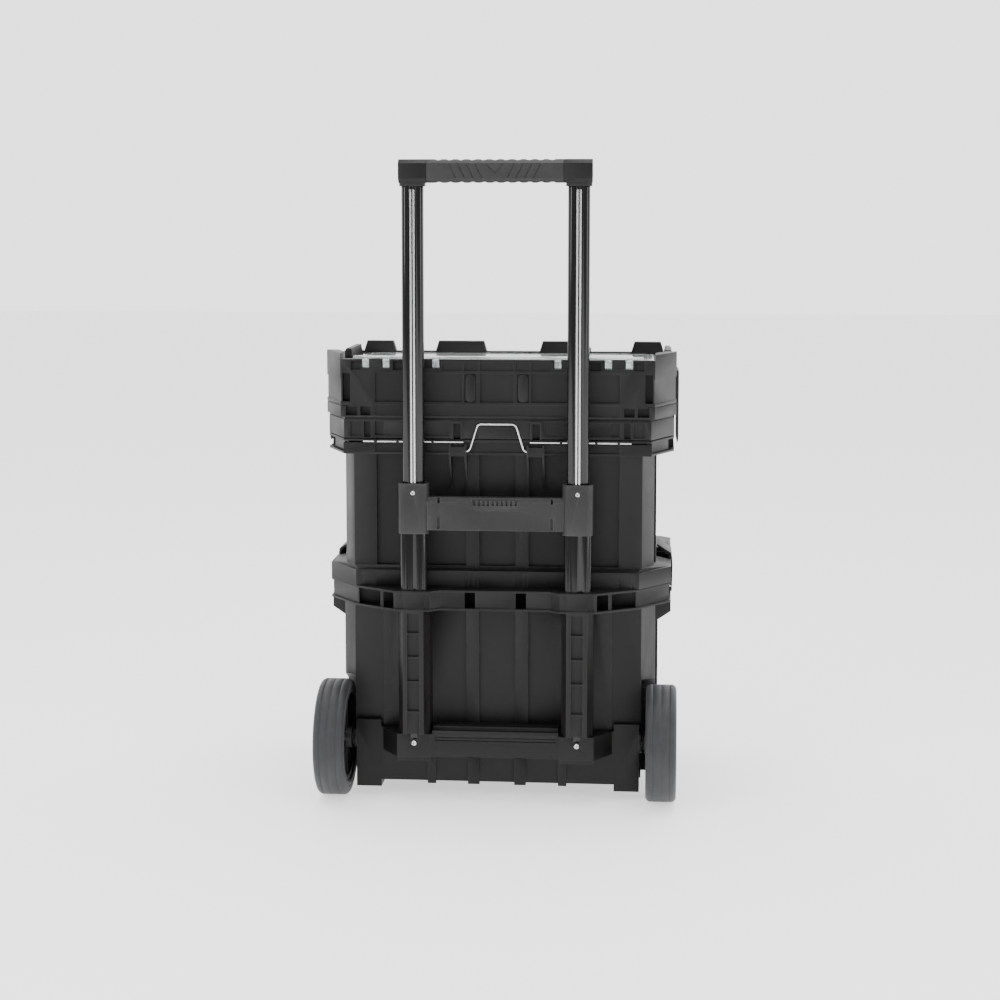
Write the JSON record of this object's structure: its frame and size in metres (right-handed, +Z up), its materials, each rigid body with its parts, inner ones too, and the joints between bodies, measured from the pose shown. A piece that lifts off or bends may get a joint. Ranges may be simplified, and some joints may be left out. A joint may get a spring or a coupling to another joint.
{
  "type": "rolling tool box",
  "caption": "Rolling stack of a wheeled bin, a lidded tool box and a clear-lidded parts organizer, with a pull-out handle behind and latches that hold the boxes together.",
  "frame": {"origin": "centre of the bounding box on the floor", "axes": "+Z up, +Y to the rear where the handle and wheels are, -Y to the front where the latches are, +X to the right seen from the front"},
  "size_m": [0.554, 0.44, 0.985],
  "materials": {
    "body_plastic": "fine moulded grain, matte",
    "grey_plastic": "fine moulded grain, matte",
    "soft_rubber": "soft, matte",
    "tyre_rubber": "smooth, slightly worn",
    "black_tube": "glossy black",
    "bright_steel": "bright plated",
    "clear_plastic": "clear, slightly tinted"
  },
  "bodies": {
    "bin": {"bin_tub": "body_plastic", "front_feet": "soft_rubber", "axle_carrier": "body_plastic", "axle": "bright_steel", "axle_spacers": "grey_plastic", "axle_retainers": "bright_steel", "outer_tube_left": "black_tube", "outer_tube_right": "black_tube", "tube_foot_plugs": "body_plastic", "tube_collars": "body_plastic", "carrier_screws": "bright_steel", "crossbar_rear": "grey_plastic", "crossbar_front": "grey_plastic", "sleeve_rivets": "bright_steel", "bin_lever_pins": "bright_steel"},
    "wheel_left": {"tyre_left": "tyre_rubber", "hub_left": "body_plastic", "hub_cap_left": "grey_plastic"},
    "wheel_right": {"tyre_right": "tyre_rubber", "hub_right": "body_plastic", "hub_cap_right": "grey_plastic"},
    "lever_left": {"bin_lever_left": "body_plastic"},
    "lever_right": {"bin_lever_right": "body_plastic"},
    "handle": {"slide_tube_left": "black_tube", "slide_tube_right": "black_tube", "slide_guides": "grey_plastic", "slide_screws": "black_tube", "grip_back": "body_plastic", "grip_front": "body_plastic", "grip_cover": "soft_rubber", "grip_end_caps": "grey_plastic"},
    "release": {"release_button": "grey_plastic", "release_link": "bright_steel", "lock_rods": "bright_steel"},
    "toolbox": {"toolbox_tub": "body_plastic", "toolbox_lid": "body_plastic", "toolbox_seal": "soft_rubber", "lid_rods": "bright_steel", "lid_rod_clips": "body_plastic", "wire_bail": "bright_steel", "toolbox_latch_pins": "bright_steel"},
    "box_latch_left": {"toolbox_latch_left": "grey_plastic"},
    "box_latch_right": {"toolbox_latch_right": "grey_plastic"},
    "box_handle": {"toolbox_handle": "grey_plastic"},
    "organizer": {"organizer_base": "body_plastic", "organizer_cups": "grey_plastic", "organizer_hinge_pins": "bright_steel", "organizer_latch_pins": "bright_steel"},
    "clear_lid": {"organizer_lid": "clear_plastic", "lid_rails": "body_plastic"},
    "org_latch_left": {"organizer_latch_left": "grey_plastic"},
    "org_latch_right": {"organizer_latch_right": "grey_plastic"},
    "hanging_latch_left": {"side_latch_left": "grey_plastic"},
    "hanging_latch_right": {"side_latch_right": "grey_plastic"},
    "org_handle": {"organizer_handle": "grey_plastic"}
  },
  "joints": [
    {"name": "wheel_left_spin", "type": "hinge", "parent": "bin", "child": "wheel_left", "pos_m": [-0.2535, 0.13, 0.09], "axis": [1, 0, 0], "continuous": true},
    {"name": "wheel_right_spin", "type": "hinge", "parent": "bin", "child": "wheel_right", "pos_m": [0.2535, 0.13, 0.09], "axis": [1, 0, 0], "continuous": true},
    {"name": "lever_left_swing", "type": "hinge", "parent": "bin", "child": "lever_left", "pos_m": [-0.2655, -0.03, 0.314], "axis": [0, -1, 0], "range_deg": [0, 80]},
    {"name": "lever_right_swing", "type": "hinge", "parent": "bin", "child": "lever_right", "pos_m": [0.2655, -0.03, 0.314], "axis": [0, 1, 0], "range_deg": [0, 80]},
    {"name": "handle_slide", "type": "slide", "parent": "bin", "child": "handle", "axis": [0, 0, 1], "range_m": [-0.33, 0]},
    {"name": "release_lift", "type": "slide", "parent": "handle", "child": "release", "axis": [0, 0, 1], "range_m": [0, 0.006], "stiffness_N_per_m": 400, "springref_m": -0.01},
    {"name": "toolbox_lift", "type": "slide", "parent": "bin", "child": "toolbox", "axis": [0, 0, 1], "range_m": [0, 0.15]},
    {"name": "box_latch_left_swing", "type": "hinge", "parent": "toolbox", "child": "box_latch_left", "pos_m": [-0.15, -0.214, 0.552], "axis": [1, 0, 0], "range_deg": [0, 110]},
    {"name": "box_latch_right_swing", "type": "hinge", "parent": "toolbox", "child": "box_latch_right", "pos_m": [0.15, -0.214, 0.552], "axis": [1, 0, 0], "range_deg": [0, 110]},
    {"name": "box_handle_swing", "type": "hinge", "parent": "toolbox", "child": "box_handle", "pos_m": [0, -0.202, 0.524], "axis": [-1, 0, 0], "range_deg": [0, 90]},
    {"name": "organizer_lift", "type": "slide", "parent": "toolbox", "child": "organizer", "axis": [0, 0, 1], "range_m": [0, 0.15]},
    {"name": "clear_lid_hinge", "type": "hinge", "parent": "organizer", "child": "clear_lid", "pos_m": [0, 0.141, 0.6815], "axis": [-1, 0, 0], "range_deg": [0, 85]},
    {"name": "org_latch_left_swing", "type": "hinge", "parent": "organizer", "child": "org_latch_left", "pos_m": [-0.105, -0.214, 0.626], "axis": [1, 0, 0], "range_deg": [0, 110]},
    {"name": "org_latch_right_swing", "type": "hinge", "parent": "organizer", "child": "org_latch_right", "pos_m": [0.105, -0.214, 0.626], "axis": [1, 0, 0], "range_deg": [0, 110]},
    {"name": "hanging_latch_left_swing", "type": "hinge", "parent": "organizer", "child": "hanging_latch_left", "pos_m": [-0.268, -0.01, 0.656], "axis": [0, 1, 0], "range_deg": [0, 90]},
    {"name": "hanging_latch_right_swing", "type": "hinge", "parent": "organizer", "child": "hanging_latch_right", "pos_m": [0.268, -0.01, 0.656], "axis": [0, -1, 0], "range_deg": [0, 90]},
    {"name": "org_handle_swing", "type": "hinge", "parent": "organizer", "child": "org_handle", "pos_m": [0, -0.214, 0.644], "axis": [-1, 0, 0], "range_deg": [0, 90]}
  ]
}
